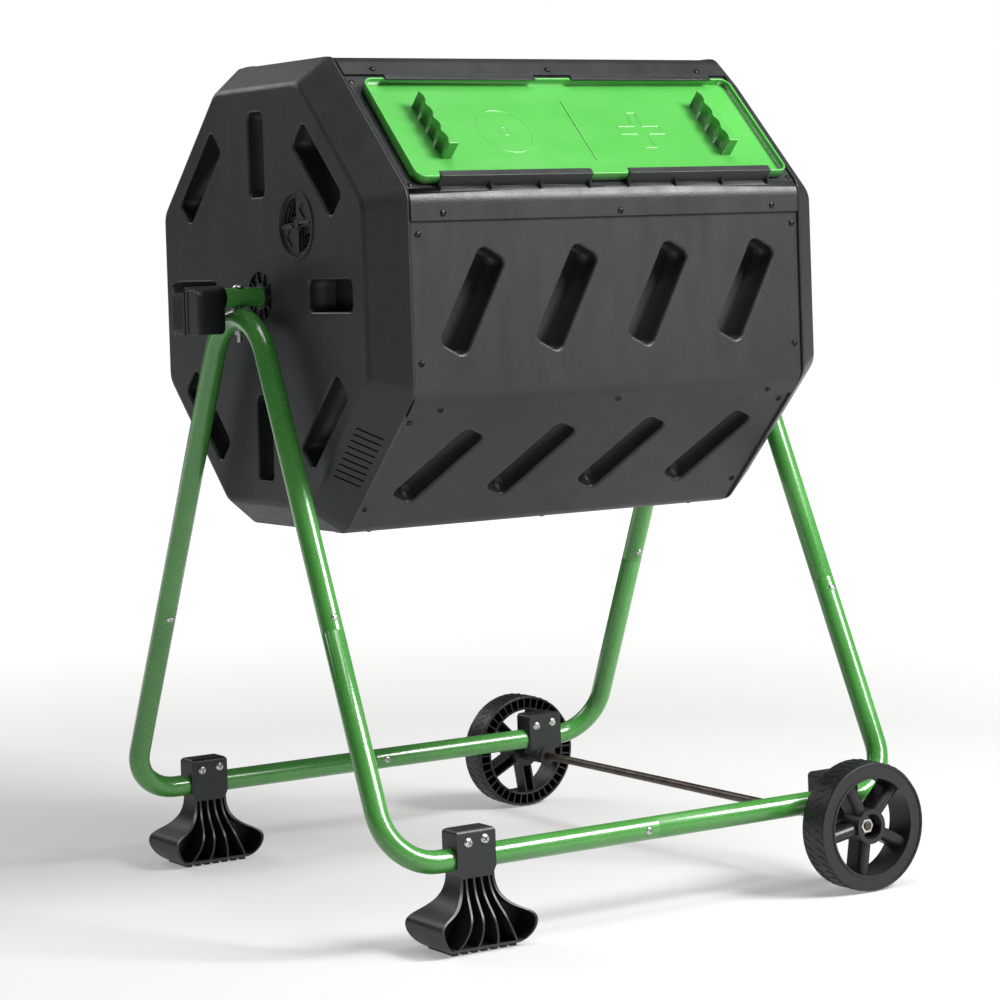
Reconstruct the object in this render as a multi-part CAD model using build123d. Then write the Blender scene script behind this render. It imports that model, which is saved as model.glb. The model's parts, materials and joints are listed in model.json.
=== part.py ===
from build123d import *
from math import cos, pi, radians, sin, tan
import os

# Compost tumbler: an eight-sided drum with two chambers turns on a through tube, on a tube stand
# that has two feet at one end and two wheels at the other. Millimetres, X along the drum towards
# the wheels, Y from front to back, Z up from the floor.

# --- drum ---
drum_apothem = 261.0          # axis to the flat of a panel
drum_rim_half = 263.0         # middle of the drum to a rim
cap_depth = 38.0              # rim to the flat end face
cap_inset = 29.0              # how far the end face is drawn in from the rim
cap_wall = 3.0
rim_bead = 1.5                # rim above the panels
rim_width = 4.0
face_edge_radius = 10.0
skirt_length = 21.0           # cap skirt that the panels are screwed to
panel_wall = 2.5
corner_radius = 25.0
fit_gap = 0.3                 # between two still pieces
lap_inset = 31.0              # corner to the end of the flange on the next face
top_edge_inset = 14.0         # corner to the start of a panel, under the flange before it
seam_screw_inset = 24.0       # corner to the seam screws
seam_screw_x = (-220.0, 11.0, 220.0)
rim_screw_insets = (44.0, 35.0)   # corners to the two screws beside a rim, upper and lower
rim_screw_inset = 13.0        # rim to the screws beside it
door_screw_gaps = (7.6, -0.4)     # the same screws on the face with the door, from its edges
door_screw_inset = 9.0
door_screw_head = 1.4         # low enough for the door to pass over

pocket_pitch = 122.0
pocket_count = 4
pocket_length = 116.0
pocket_width = 35.0
pocket_depth = 38.0
pocket_wall = 2.0
pocket_tilt = 28.3
pocket_row = -10.0
pocket_corner = 9.0

end_slot_length = 95.0        # radial slots in the end face
end_slot_inset = 102.0        # flat of a panel to the middle of a slot
side_slot_length = 116.0      # slots that lie across a corner
side_slot_inset = 67.0
end_slot_width = 35.0
end_slot_depth = 34.0
end_slot_corner = 8.0

vent_radius = 36.0
vent_offset = 118.0
vent_angle = 41.5
vent_recess = 5.0
vent_window_radius = 31.0
vent_boss = 7.0
vent_bar = 2.0                # solid bar beside each window
vent_seat_wall = 3.0
vent_rim_width = 2.5          # raised rim round the vent
vent_rim_height = 1.5
shutter_wall = 3.0
shutter_gap = 0.08
shutter_recess = (12.0, 20.0, 4.0)   # width, length and corner of a finger recess
shutter_recess_depth = 1.6
shutter_bar = (24.0, 2.4, 3.0)       # length, width and height of a finger bar
pin_head = (5.0, 1.6)         # radius and height
pin_length = 13.0
mesh_wall = 1.5
mesh_hole = 3.4
mesh_pitch = 4.0
pin_radius = 3.0

slit_count = 9
slit_pitch = 9.4
slit_width = 2.2
slit_angle = 135              # turned to the lower front shoulder
slit_reach = 0.68             # share of the shoulder that a slit crosses
slit_level = 247.0            # drum axis to the middle of the cut
slit_depth = 40.0

hub_radius = 30.0
hub_recess = 5.0
hub_seat_wall = 4.0
hub_base = 1.6
hub_ring_wall = 2.0
hub_rib_count = 10
hub_rib_width = 1.8
sleeve_wall = 3.9
sleeve_length = 45.0
running_gap = 0.1             # round a tube that a bore turns on
divider_wall = 3.0
divider_flange = 14.0
divider_rib = (8.0, 3.0)      # height and width
divider_rib_start = 40.0
bush_length = 30.0
bush_flange = (8.0, 3.0)      # how far it stands out, and its thickness

# --- door ---
door_angle = 135              # the face it is on, counted from the back over the top
door_half = 248.0
door_top = 60.4               # upper edge, from the middle of the face
door_bottom = -98.4
door_rim = 11.0
door_wall = 2.5
door_corner = 12.0
door_gap = 0.5
rail_inner = 25.0
rail_outer = 220.0
rail_wall = 2.0
rail_lip = 6.5
gusset_count = 4
gusset_reach = 7.0
gusset_share = 0.6            # of the rail's height
opening_outer = 222.0
opening_left = -12.0
opening_right = 18.0
opening_top = 48.0
opening_bottom = -88.0
opening_corner = 10.0
grip_x = (-192.5, 182.5)
grip_thickness = 14.0
grip_top = 22.0
grip_bottom = -63.0
grip_height = 24.0
grip_corner = 2.0
scallop_count = 4             # finger hollows along each side of a grip
scallop_radius = 13.5
scallop_depth = 3.0
mark_height = 0.8             # raised lines on the door
ring_mark = (-97.0, 35.0, 33.0)      # place, outer and inner radius
dot_mark = (7.0, 5.5)
plus_mark = (86.0, 60.0, 15.0, 4.0)  # place, length, width and twice its line
line_mark = (1.0, 1.6, 0.62)         # place, width and share of the door

# --- stand ---
axle_height = 689.0
axle_od = 22.0
tube_od = 25.0
tube_wall = 1.5
leg_angle = 24.69             # each leg from the vertical
rail_height_z = 95.0
rail_y = 304.4
frame_gap = 26.7              # end face to the middle of a frame top, where its legs would meet
leg_lean = 7.5                # how much further out a leg stands at the rail
bend_radius = 58.0
leg_joint_height = 330.5
swage_length = 45.0
swage_gap = 0.1
joint_screw_offset = 14.0
joint_screw_spare = 2.0
swage_collar = 3.0            # where the tube steps down to its reduced end
saddle_gap = 0.2
bolt_radius = 3.0
screw_radius = 2.0
hole_gap = 0.2

axle_left_overhang = 65.3     # frame top to the end of the axle tube
axle_right_overhang = 18.3
axle_bolt_head = (6.5, 4.0)   # radius and height
axle_bolt_spare = 12.0
nut_flats = 10.0
nut_height = 5.0
nut_gap = 0.5
thread_gap = 0.1
plug_flange = 4.0             # plug in the end of the axle tube
plug_overhang = 1.5
plug_stem = 12.0
hand_grip_depth = 35.0
hand_grip_wall = 4.0          # over the end of the axle tube
hand_grip_width = 62.0
hand_grip_height = 50.0
hand_grip_drop = 14.5
hand_grip_fin = (53.0, 9.0, 40.0, 5.0)   # rear wall: length, thickness, height and corner
hand_grip_fin_rise = 19.0     # its top above the axle tube
hand_grip_corner = 9.0
hand_grip_edge = 3.0
hand_grip_socket_wall = 3.0
hand_grip_socket_reach = 12.0
hand_grip_margin = 7.0        # above and below the fine ribs
fine_rib_count = 10
fine_rib_pitch = 2.5
fine_rib_start = 3.5
fine_rib = (1.2, 1.2)         # depth and width of the cuts between them
hand_grip_groove = (-3.0, 2.4, 4.0)      # place, depth and width
hand_grip_step = (-9.0, 0.8)  # place and depth of the lower half of the face
notch_count = 6
notch_pitch = 8.0
notch_start = 20.0
notch_radius = 2.2

# --- feet and wheels ---
foot_x = -238.0
block_width = 48.0
block_wall = 2.5              # beside the rail
block_above = 19.5            # rail to the top of a block
block_edge = 5.0
foot_width = 118.0
foot_depth = 74.0
foot_neck_below = 2.5         # rail to the narrowest place
foot_neck_inset = 3.0
foot_shoulder = 6.0           # height of the step above it
foot_waist = 30.0             # height at which the foot is widest
foot_sole = 84.0
foot_sole_depth = 54.0
foot_wall = 3.0
foot_rib_count = 4
foot_rib_wall = 2.4
foot_rib_top_inset = 10.0     # outermost ribs, from the sides of the block and of the foot
foot_rib_low_inset = 18.0
foot_pocket_floor = 8.0
tooth_count = 7
tooth_height = 3.0
tooth_share = 0.55
tooth_inset = 2.0
block_bolt_pitch = 24.0
block_bolt_above = 6.0        # rail to the middle of the bolts
block_bolt_head = (5.5, 3.2)  # radius and height
block_bolt_spare = 8.0
bracket_below = 1.5           # rail to the underside of a wheel bracket
bracket_web = 14.0
bracket_web_wall = 3.0
boss_gap = 3.0                # boss to the wheel
boss_overlap = 4.0
wheel_x = 251.5
wheel_radius = 72.5
wheel_width = 37.4
wheel_inner_y = 337.3
tread_wall = 3.5
barrel_radius = 57.0
wheel_wall = 2.5
spoke_count = 5
spoke_width = 15.0
rim_rib_count = 40
spoke_start = 81.0            # puts one spoke of the front wheel near the back of the stand
wheel_hub_radius = 19.5
wheel_nut_recess = 14.2
nut_seat = 18.0               # inner face of a wheel to the seat of its nut
rod_radius = 5.0
rod_gap = 0.08
rod_overhang = 11.0           # past the seat of its nut
boss_radius = 11.0
tread_edge = 2.0
rib_wall = 1.6
face_wall = 3.0
face_inset = 1.0
spoke_depth = 18.0            # its flat-sided back part
spoke_inset = 14.0            # outer face to the round front of a spoke
spoke_wall = 2.5
spoke_overlap = 1.5
wheel_nut = (15.0, 7.0)       # across flats and height
washer_wall = 1.6
spacer = (9.0, 2.2, 0.4)      # radius, length and gap to the wheel

# --- worked out ---
face_x = drum_rim_half + cap_depth
corner_half = drum_apothem * tan(pi / 8)
lap_edge = corner_half - lap_inset
panel_top_edge = corner_half - top_edge_inset
seam_screw_row = corner_half - seam_screw_inset
rim_screw_rows = (corner_half - rim_screw_insets[0], rim_screw_insets[1] - corner_half)
door_screw_rows = (door_top + door_screw_gaps[0], door_bottom - door_screw_gaps[1])
end_slot_radius = drum_apothem - end_slot_inset
side_slot_radius = drum_apothem - side_slot_inset
frame_x = face_x + frame_gap
axle_left = -frame_x - axle_left_overhang
axle_right = frame_x + axle_right_overhang
panel_half = drum_rim_half - rim_width - fit_gap
lap_rise = panel_wall + fit_gap
skirt_apothem = drum_apothem - panel_wall - fit_gap
axle_radius = axle_od / 2
tube_radius = tube_od / 2
bore_radius = axle_radius + running_gap
sleeve_radius = bore_radius + sleeve_wall
door_level = rim_bead + door_gap              # underside of the door, which passes over the rims
rail_height = door_level + door_rim + door_gap + rail_wall
saddle_height = axle_height - axle_radius - saddle_gap - tube_radius
leg_slope = tan(radians(leg_angle))
block_depth = tube_od + 2 * block_wall
block_top = rail_height_z + tube_radius + block_above
block_bolt_height = rail_height_z + tube_radius + block_bolt_above
foot_neck = rail_height_z - tube_radius - foot_neck_below
bracket_low = rail_height_z - tube_radius - bracket_below
leg_meet_height = rail_height_z + rail_y / leg_slope
top_bend_radius = (leg_meet_height - saddle_height) / (1 / sin(radians(leg_angle)) - 1)
bolt_x = frame_x + leg_lean * (leg_meet_height - saddle_height) / (leg_meet_height - rail_height_z)
part_low_x = axle_left - hand_grip_wall
part_high_x = axle_right + plug_flange
shift_x = -(part_low_x + part_high_x) / 2      # puts the origin under the middle of the whole

nodes = {}
standing = (Align.CENTER, Align.CENTER, Align.MIN)     # on Z = 0
hanging = (Align.CENTER, Align.CENTER, Align.MAX)      # below it


def keep(name, shape):
    nodes[name] = shape


def group(shapes):
    solids = []
    for shape in shapes:
        solids += list(shape.solids())
    return Compound(solids)


def turned(shape):
    # the same piece at the other end of the stand or drum
    return Rot(0, 0, 180) * shape


def on_axis(shape):
    return Pos(0, 0, axle_height) * shape


def octagon(apothem, corner):
    outline = RegularPolygon(apothem, 8, major_radius=False, rotation=22.5)
    return fillet(outline.vertices(), corner)


def across(x):
    # a plane across the drum, with its own X to the front and its own Y up
    return Plane(origin=(x, 0, 0), x_dir=(0, -1, 0), z_dir=(-1, 0, 0))


def prism(apothem, corner, x0, x1):
    return extrude(across(x1) * octagon(apothem, corner), x1 - x0)


def taper(apothem0, corner0, x0, apothem1, corner1, x1):
    sections = [across(x0) * octagon(apothem0, corner0), across(x1) * octagon(apothem1, corner1)]
    return loft(sections, ruled=True)


def face_plane(angle, rise=0.0):
    # a drum face: X along the drum, Y up the face towards the panel before it, Z outwards
    a = radians(angle)
    n = (0, cos(a), sin(a))
    height = drum_apothem + rise
    return Plane(origin=(0, n[1] * height, n[2] * height), x_dir=(1, 0, 0), z_dir=n)


def pan_screw(length, head_radius=4.0, head_height=2.2, shank=screw_radius):
    # head on Z = 0, shank downwards
    head = Cylinder(head_radius, head_height, align=standing)
    head = fillet(head.edges().group_by(Axis.Z)[-1], head_height * 0.6)
    stem = Cylinder(shank, length, align=hanging)
    slot = Box(head_radius * 1.1, 0.9, head_height) + Box(0.9, head_radius * 1.1, head_height)
    return head + stem - Pos(0, 0, head_height) * slot


def hex_nut(flats, height, bore):
    body = extrude(RegularPolygon(flats / 2, 6, major_radius=False), height)
    return body - Cylinder(bore, height * 3)


# --- drum panels ---

def panel_outline(inward):
    # a panel's section, seen along the drum: flat, corner bend, then the flange over the next face
    level = -inward
    lap = drum_apothem + lap_rise - inward
    s = sin(radians(45))
    corner_t = -(lap - (drum_apothem + level) * s) / s
    end = (-lap * s + lap_edge * s, -drum_apothem + lap * s + lap_edge * s)
    return [(panel_top_edge, level), (corner_t, level), end]


def panel_shell():
    outer, inner = panel_outline(0), panel_outline(panel_wall)
    with BuildPart() as shell:
        with BuildSketch(Plane.YZ.offset(-panel_half)):
            with BuildLine():
                FilletPolyline(*outer, radius=corner_radius)
                FilletPolyline(*inner, radius=corner_radius - panel_wall)
                Line(outer[0], inner[0])
                Line(outer[-1], inner[-1])
            make_face()
        extrude(amount=2 * panel_half)
    return shell.part


def pocket_places():
    first = -pocket_pitch * (pocket_count - 1) / 2
    return [(first + pocket_pitch * i, pocket_row) for i in range(pocket_count)]


def pocket_outline(extra):
    return RectangleRounded(pocket_width + 2 * extra, pocket_length + 2 * extra, pocket_corner + extra,
                            rotation=-pocket_tilt)


def add_pockets(shell):
    for x, t in pocket_places():
        cup = Pos(x, t, -panel_wall / 2) * extrude(pocket_outline(pocket_wall), -pocket_depth)
        shell = shell + cup
    for x, t in pocket_places():
        hollow = Pos(x, t, 1) * extrude(pocket_outline(0), -pocket_depth)
        shell = shell - hollow
    return shell


def seam_holes():
    drill = Cylinder(screw_radius + hole_gap, 24)
    return [Pos(x, seam_screw_row, 0) * drill for x in seam_screw_x]


def rim_screw_places(angle):
    inset = door_screw_inset if angle == door_angle else rim_screw_inset
    rows = door_screw_rows if angle == door_angle else rim_screw_rows
    x = drum_rim_half - inset
    return [(side * x, row) for side in (-1, 1) for row in rows]


def rim_holes(angle):
    drill = Cylinder(screw_radius + hole_gap, 24)
    return [Pos(x, t, 0) * drill for x, t in rim_screw_places(angle)]


def next_face():
    # the face below, in the frame of this one
    return Pos(0, 0, -drum_apothem) * Rot(45, 0, 0) * Pos(0, 0, drum_apothem)


def drilled(shell, angle):
    for hole in seam_holes() + rim_holes(angle):
        shell = shell - hole
    for hole in seam_holes():
        shell = shell - next_face() * hole
    return shell


def gusset(reach, height):
    with BuildPart() as rib:
        with BuildSketch(Plane.YZ.offset(-rail_wall / 2)):
            with BuildLine():
                low = -panel_wall / 2
                Polyline((0, low), (0, height), (-reach, 1.0), (-reach, low), close=True)
            make_face()
        extrude(amount=rail_wall)
    return rib.part


def door_rail(side, edge, outward):
    # outward is +1 for the rail above the door, -1 for the one below
    length = rail_outer - rail_inner
    middle = side * (rail_outer + rail_inner) / 2
    base = -panel_wall / 2
    web = Box(length, rail_wall, rail_height - base, align=standing)
    web = Pos(middle, edge + outward * (door_gap + rail_wall / 2), base) * web
    lip = Box(length, rail_lip + rail_wall, rail_wall, align=hanging)
    rail = web + Pos(middle, edge + outward * (door_gap + rail_wall / 2 - rail_lip / 2), rail_height) * lip
    step = (length - rail_wall) / (gusset_count - 1)
    for i in range(gusset_count):
        x = side * (rail_inner + rail_wall / 2 + step * i)
        rib = gusset(gusset_reach, rail_height * gusset_share)
        if outward > 0:
            rib = mirror(rib, about=Plane.XZ)
        rail = rail + Pos(x, edge + outward * (door_gap + rail_wall * 0.75), 0) * rib
    return rail


def door_frame():
    shell = panel_shell()
    for low, high in ((-opening_outer, opening_left), (opening_right, opening_outer)):
        outline = RectangleRounded(high - low, opening_top - opening_bottom, opening_corner)
        hole = extrude(outline, 20, both=True)
        shell = shell - Pos((low + high) / 2, (opening_top + opening_bottom) / 2, 0) * hole
    for side in (-1, 1):
        shell = shell + door_rail(side, door_top, 1) + door_rail(side, door_bottom, -1)
    return shell


panel_names = {
    90: "top_panel", 135: "door_frame_panel", 180: "front_panel", 225: "lower_front_panel",
    270: "bottom_panel", 315: "lower_back_panel", 0: "back_panel", 45: "upper_back_panel",
}


def make_panels():
    plain = drilled(add_pockets(panel_shell()), 0)
    with_door = drilled(door_frame(), door_angle)
    for angle, name in panel_names.items():
        shape = with_door if angle == door_angle else plain
        keep(name, on_axis(face_plane(angle).location * shape))


def make_panel_screws():
    seam, rim = [], []
    seam_screw = pan_screw(10)
    rim_screw = pan_screw(8)
    low_screw = pan_screw(8, head_height=door_screw_head)
    for angle in panel_names:
        for x in seam_screw_x:
            place = face_plane(angle, lap_rise).location * Pos(x, seam_screw_row, 0)
            seam.append(on_axis(place * seam_screw))
        for x, t in rim_screw_places(angle):
            screw = low_screw if angle == door_angle else rim_screw
            rim.append(on_axis(face_plane(angle).location * Pos(x, t, 0) * screw))
    keep("seam_screws", group(seam))
    keep("rim_screws", group(rim))


# --- end caps: built for the left end, then turned for the right ---

def end_slot_places():
    places = []
    for i in range(8):
        angle = 45 * i
        if i % 2:
            places.append((angle, side_slot_radius, side_slot_length, end_slot_width))
        else:
            places.append((angle, end_slot_radius, end_slot_width, end_slot_length))
    return places


def end_slot(place, extra, depth):
    angle, radius, along, outward = place
    outline = RectangleRounded(along + 2 * extra, outward + 2 * extra, end_slot_corner + extra)
    return across(-face_x).location * Rot(0, 0, -angle) * Pos(0, radius, 0) * extrude(outline, -depth)


def window(radius_out, radius_in, quadrant, depth):
    # a quarter ring with a solid bar along both its straight edges
    ring = Circle(radius_out) - Circle(radius_in)
    sx, sy = quadrant
    middle = radius_out / 2 + vent_bar
    area = ring & (Pos(sx * middle, sy * middle) * Rectangle(radius_out, radius_out))
    return extrude(area, -depth)


def vent_place():
    a = radians(vent_angle)
    return Pos(vent_offset * cos(a), vent_offset * sin(a), 0)


open_quadrants = ((-1, 1), (1, -1))


def cap_shell():
    rim = drum_apothem + rim_bead
    inner = skirt_apothem - cap_wall
    inner_corner = corner_radius - panel_wall - cap_wall
    face = rim - cap_inset
    skirt_end = drum_rim_half - rim_width - skirt_length
    body = taper(rim, corner_radius, -drum_rim_half, face, corner_radius, -face_x)
    body = fillet(body.edges().filter_by(lambda e: abs(e.center().X + face_x) < 0.1), face_edge_radius)
    body = body + prism(rim, corner_radius, -drum_rim_half, -drum_rim_half + rim_width)
    body = body + prism(skirt_apothem, corner_radius - panel_wall, -drum_rim_half, -skirt_end)
    body = body - prism(inner, inner_corner, -drum_rim_half - 0.5, -skirt_end + 1)
    hollow_end = face - 2 * cap_wall - 1          # keeps the sloping wall as thick as the flat one
    hollow = taper(inner, inner_corner, -drum_rim_half, hollow_end, inner_corner, -face_x + cap_wall)
    return body - hollow


def end_cap():
    body = cap_shell()
    flat = across(-face_x).location
    for place in end_slot_places():
        body = body + end_slot(place, pocket_wall, end_slot_depth + pocket_wall)
    for place in end_slot_places():
        body = body - end_slot(place, 0, end_slot_depth)
    # seat of the vent: a recess with two windows in its floor
    seat = Cylinder(vent_radius + vent_seat_wall, vent_recess + cap_wall, align=hanging)
    body = body + flat * vent_place() * seat
    raised = Cylinder(vent_radius + vent_rim_width, 2 * vent_rim_height)
    raised = raised - Cylinder(vent_radius, 4 * vent_rim_height)
    body = body + flat * vent_place() * raised
    body = body - flat * vent_place() * Cylinder(vent_radius, 2 * vent_recess)
    for quadrant in open_quadrants:
        body = body - flat * vent_place() * window(vent_window_radius, vent_boss, quadrant, vent_recess * 3)
    body = body - flat * vent_place() * Cylinder(pin_radius + hole_gap, 40)
    # seat of the hub
    seat = Cylinder(hub_radius + hub_seat_wall, hub_recess + cap_wall, align=hanging)
    body = body + flat * seat
    body = body - flat * Cylinder(hub_radius + fit_gap, 2 * hub_recess)
    body = body - flat * Cylinder(sleeve_radius + hole_gap, 60)
    # fine slits through the lower front shoulder
    for i in range(slit_count):
        t = (i - (slit_count - 1) / 2) * slit_pitch
        slit = Box(cap_depth * slit_reach, slit_width, slit_depth)
        place = Pos(-drum_rim_half - cap_depth / 2, 0, 0) * Rot(slit_angle, 0, 0) * Pos(0, t, slit_level)
        body = body - place * slit
    return body


def drilled_cap(body, side):
    # holes through the skirt, where the panels are screwed to it
    drill = Cylinder(screw_radius + hole_gap, 24)
    for angle in panel_names:
        for x, t in rim_screw_places(angle):
            if x * side > 0:
                body = body - face_plane(angle).location * Pos(x, t, 0) * drill
    return body


def vent_mesh():
    back = vent_recess + cap_wall
    disc = Pos(0, 0, -back - 0.1) * Cylinder(vent_radius, mesh_wall, align=hanging)
    cells = []
    rows = int(vent_window_radius / (mesh_pitch * 1.5)) + 1
    for i in range(-rows * 2, rows * 2 + 1):
        for j in range(-rows * 2, rows * 2 + 1):
            x = 2 * mesh_pitch * (i + 0.5 * (j % 2)) * cos(radians(30))
            y = 1.5 * mesh_pitch * j
            r = (x * x + y * y) ** 0.5
            inside = vent_boss + mesh_pitch < r < vent_window_radius - mesh_pitch * 0.6
            in_window = x * y < 0 and min(abs(x), abs(y)) > vent_bar + mesh_pitch
            if inside and in_window:
                cells.append(Pos(x, y) * RegularPolygon(mesh_hole, 6, rotation=30))
    holes = Sketch() + cells
    disc = disc - Pos(0, 0, -back + 1) * extrude(holes, -6)
    disc = disc - Cylinder(pin_radius + hole_gap, 60)
    return across(-face_x).location * vent_place() * disc


def vent_shutter():
    # windows match those in the cap when the vent is open
    level = -vent_recess + fit_gap
    disc = Pos(0, 0, level) * Cylinder(vent_radius - fit_gap, shutter_wall, align=standing)
    for quadrant in open_quadrants:
        disc = disc - Pos(0, 0, 10) * window(vent_window_radius, vent_boss, quadrant, 30)
    for sx, sy in ((1, 1), (-1, -1)):
        middle = vent_radius * 0.42
        recess = extrude(Rot(0, 0, 45) * RectangleRounded(*shutter_recess), -shutter_recess_depth)
        disc = disc - Pos(sx * middle, sy * middle, level + shutter_wall) * recess
        bar = Pos(sx * 18.5, sy * 2.2, level + shutter_wall) * Box(*shutter_bar, align=standing)
        disc = disc + bar
    disc = disc - Cylinder(pin_radius + shutter_gap, 60)
    return across(-face_x).location * vent_place() * disc


def vent_pin():
    head_level = -vent_recess + fit_gap + shutter_wall + fit_gap
    head = Cylinder(*pin_head, align=standing)
    head = fillet(head.edges().group_by(Axis.Z)[-1], pin_head[1] / 2)
    pin = Cylinder(pin_radius, pin_length, align=hanging) + head
    return across(-face_x).location * vent_place() * Pos(0, 0, head_level) * pin


def hub():
    level = -hub_recess + 0.1
    base = Cylinder(hub_radius, hub_base, align=standing)
    rim = Cylinder(hub_radius, hub_recess, align=standing)
    rim = rim - Cylinder(hub_radius - hub_ring_wall, 3 * hub_recess)
    body = base + rim + Cylinder(sleeve_radius, hub_recess, align=standing)
    rib_start = sleeve_radius - hub_rib_width
    rib_end = hub_radius - hub_ring_wall / 2
    outwards = (Align.MIN, Align.CENTER, Align.MIN)
    for i in range(hub_rib_count):
        rib = Box(rib_end - rib_start, hub_rib_width, hub_recess - 0.8, align=outwards)
        body = body + Rot(0, 0, 360 / hub_rib_count * i) * Pos(rib_start, 0, 0) * rib
    sleeve = Cylinder(sleeve_radius, sleeve_length, align=hanging)
    body = body + sleeve - Cylinder(bore_radius, 200)
    return across(-face_x).location * Pos(0, 0, level) * body


def make_ends():
    cap = end_cap()
    keep("left_end_cap", on_axis(drilled_cap(cap, -1)))
    keep("right_end_cap", on_axis(drilled_cap(turned(cap), 1)))
    pieces = {"vent_mesh": vent_mesh(), "vent_shutter": vent_shutter(), "vent_pin": vent_pin(), "hub": hub()}
    for name, shape in pieces.items():
        keep("left_" + name, on_axis(shape))
        keep("right_" + name, on_axis(turned(shape)))


def make_divider():
    corner = corner_radius - panel_wall
    plate = prism(skirt_apothem, corner, -divider_wall / 2, divider_wall / 2)
    flange_end = divider_wall / 2 + divider_flange
    flange = prism(skirt_apothem, corner, divider_wall / 2 - 0.5, flange_end)
    flange = flange - prism(skirt_apothem - panel_wall, corner - panel_wall, 0, flange_end + 1)
    body = plate + flange
    rib_length = skirt_apothem - panel_wall / 2 - divider_rib_start
    for i in range(8):
        rib = Box(*divider_rib, rib_length, align=(Align.MIN, Align.CENTER, Align.MIN))
        body = body + Rot(45 * i, 0, 0) * Pos(divider_wall / 2 - 0.5, 0, divider_rib_start) * rib
    for angle in panel_names:
        body = body - face_plane(angle).location * seam_holes()[1]
    body = body - Rot(0, 90, 0) * Cylinder(sleeve_radius + hole_gap, 60)
    keep("chamber_divider", on_axis(body))
    reach, wall = bush_flange
    flange = Cylinder(sleeve_radius + reach, wall, align=standing)
    bush = Cylinder(sleeve_radius, bush_length) + Pos(0, 0, divider_wall / 2 + 0.1) * flange
    keep("divider_bush", on_axis(Rot(0, 90, 0) * (bush - Cylinder(bore_radius, 2 * bush_length))))


# --- sliding door ---

def wavy_grip():
    # a finger grip that stands on the tray, hollowed for the fingers along both sides
    length = grip_top - grip_bottom
    pitch = length / scallop_count
    block = Box(grip_thickness, length, grip_height, align=standing)
    block = fillet(block.edges().filter_by(Axis.Z), grip_corner)
    hollow = Cylinder(scallop_radius, 3 * grip_height)
    reach = grip_thickness / 2 + scallop_radius - scallop_depth
    for i in range(scallop_count):
        for side in (-1, 1):
            block = block - Pos(side * reach, pitch * (i + 0.5) - length / 2, 0) * hollow
    return block


def door_marks(length):
    # a ring with a dot, a dividing line and a plus, all raised outlines
    height = 2 * mark_height
    ring_x, ring_outer, ring_inner = ring_mark
    dot_outer, dot_inner = dot_mark
    plus_x, plus_length, plus_width, plus_line = plus_mark
    line_x, line_width, line_share = line_mark
    ring_part = Cylinder(ring_outer, height) - Cylinder(ring_inner, 2 * height)
    dot = Cylinder(dot_outer, height) - Cylinder(dot_inner, 2 * height)
    plus = Box(plus_length, plus_width, height) + Box(plus_width, plus_length, height)
    long_cut, short_cut = plus_length - plus_line, plus_width - plus_line
    plus = plus - Box(long_cut, short_cut, 2 * height) - Box(short_cut, long_cut, 2 * height)
    line = Box(line_width, length * line_share, height)
    return [Pos(ring_x, 0, 0) * (ring_part + dot), Pos(plus_x, 0, 0) * plus, Pos(line_x, 0, 0) * line]


def sliding_door():
    width = door_top - door_bottom
    tray = extrude(RectangleRounded(2 * door_half, width, door_corner), door_rim)
    inner = RectangleRounded(2 * (door_half - door_wall), width - 2 * door_wall, door_corner - door_wall)
    tray = tray - Pos(0, 0, door_wall) * extrude(inner, door_rim)
    tray = fillet(tray.edges().filter_by(lambda e: abs(e.center().Z - door_rim) < 0.01), 0.9)
    tray = Pos(0, (door_top + door_bottom) / 2, 0) * tray
    middle = (grip_top + grip_bottom) / 2
    for x in grip_x:
        tray = tray + Pos(x, middle, door_wall - 0.5) * wavy_grip()
    for mark in door_marks(width):
        tray = tray + Pos(0, (door_top + door_bottom) / 2, door_wall) * mark
    keep("sliding_door", on_axis(face_plane(door_angle, door_level).location * tray))


# --- stand ---

def frame_point(z, side_y):
    # centre of a left-hand leg at height z; side_y is -1 in front, +1 behind
    down = leg_meet_height - z
    lean = leg_lean * down / (leg_meet_height - rail_height_z)
    return Vector(-frame_x - lean, side_y * leg_slope * down, z)


def tube(points, radius, outer, inner):
    path = FilletPolyline(*points, radius=radius) if len(points) > 2 else Line(*points)
    start = path @ 0
    section = Plane(origin=start, z_dir=path % 0)
    return sweep(section * (Circle(outer) - Circle(inner)), path=path)


def swage(end, direction):
    # the reduced end of a tube, which goes into its neighbour
    reduced = tube_radius - tube_wall - swage_gap
    bore = reduced - tube_wall
    collar_plane = Plane(origin=end - direction * swage_collar, z_dir=direction)
    collar = extrude(collar_plane * (Circle(tube_radius) - Circle(bore)), swage_collar)
    stub_plane = Plane(origin=end - direction, z_dir=direction)
    return collar + extrude(stub_plane * (Circle(reduced) - Circle(bore)), swage_length + 1)


def unit(v):
    return v / v.length


def screw_plane(point, along, distance):
    # square to a tube, with Z as near to the front as that allows
    front = Vector(0, -1, 0)
    sideways = unit(front - along * along.dot(front))
    return Plane(origin=point + sideways * distance, z_dir=sideways, x_dir=along)


def joint_screw(point, along):
    # a screw right through a joint of two tubes, its head in front
    screw = pan_screw(tube_od + joint_screw_spare, 4.2)
    return screw_plane(point, along, tube_radius + 0.05).location * screw


def joint_hole(point, along):
    return screw_plane(point, along, 0).location * Cylinder(screw_radius + hole_gap, tube_od + 10)


joint_f, joint_b = frame_point(leg_joint_height, -1), frame_point(leg_joint_height, 1)
corner_f, corner_b = frame_point(rail_height_z, -1), frame_point(rail_height_z, 1)
down_f, down_b = unit(corner_f - joint_f), unit(corner_b - joint_b)
apex = frame_point(leg_meet_height, 1)
rail_joint = Vector(0, -rail_y, rail_height_z)
rail_way = Vector(1, 0, 0)
screw_f = joint_f - down_f * joint_screw_offset
screw_b = joint_b + down_b * joint_screw_offset
screw_rail = rail_joint - rail_way * joint_screw_offset


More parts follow.
